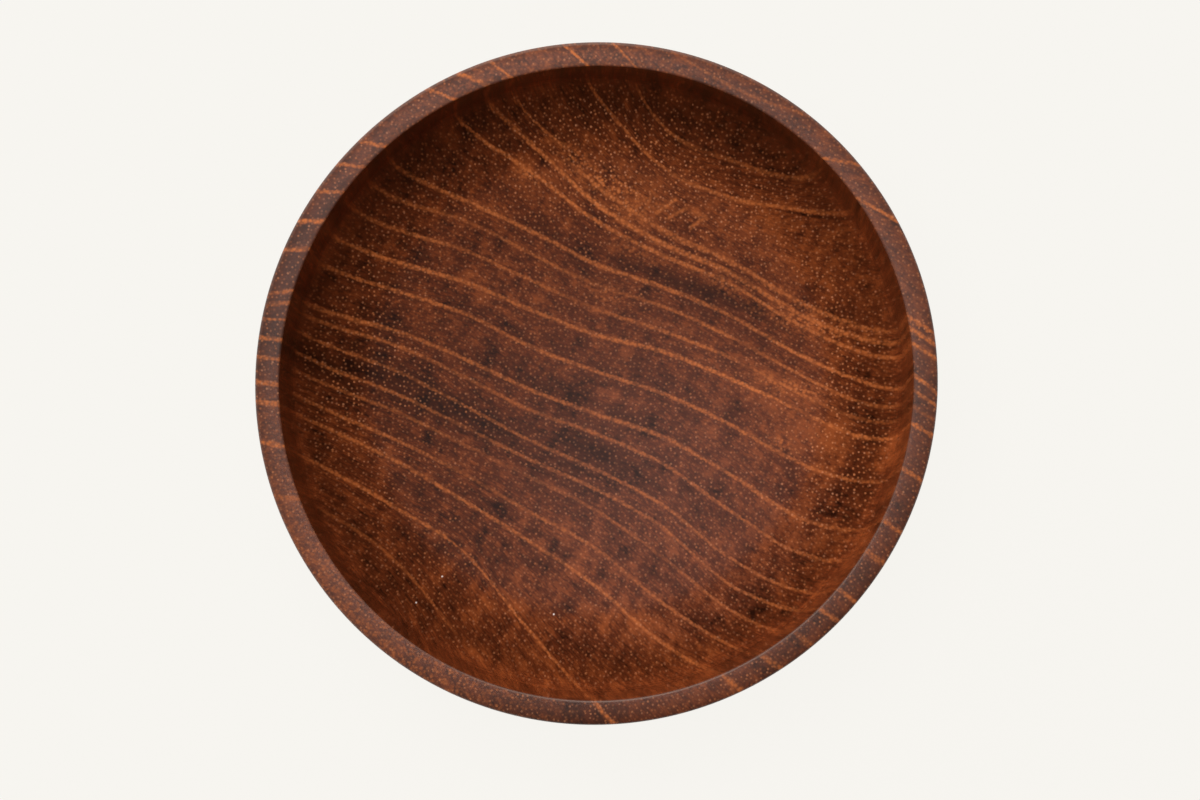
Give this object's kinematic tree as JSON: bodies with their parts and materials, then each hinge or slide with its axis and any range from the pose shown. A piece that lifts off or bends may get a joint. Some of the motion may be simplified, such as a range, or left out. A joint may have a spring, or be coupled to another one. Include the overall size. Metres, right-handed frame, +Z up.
{
  "type": "sauce bowl",
  "caption": "Small round turned wooden bowl with a wide dished floor, steep wall, narrow eased rim and low foot ring, for serving sauces, dips and condiments.",
  "frame": {"origin": "centre of the foot ring's contact plane, on the axis that the bowl was turned about", "axes": "+Z up the turning axis, out of the mouth; X and Y lie in the table plane, with +Y towards the top of the picture"},
  "size_m": [0.08, 0.08, 0.03],
  "materials": {
    "oiled_wood": "dark red-brown end-grain hardwood with pale orange growth lines and pore dots, satin oil finish"
  },
  "bodies": {
    "root": {"bowl": "oiled_wood"}
  },
  "joints": []
}
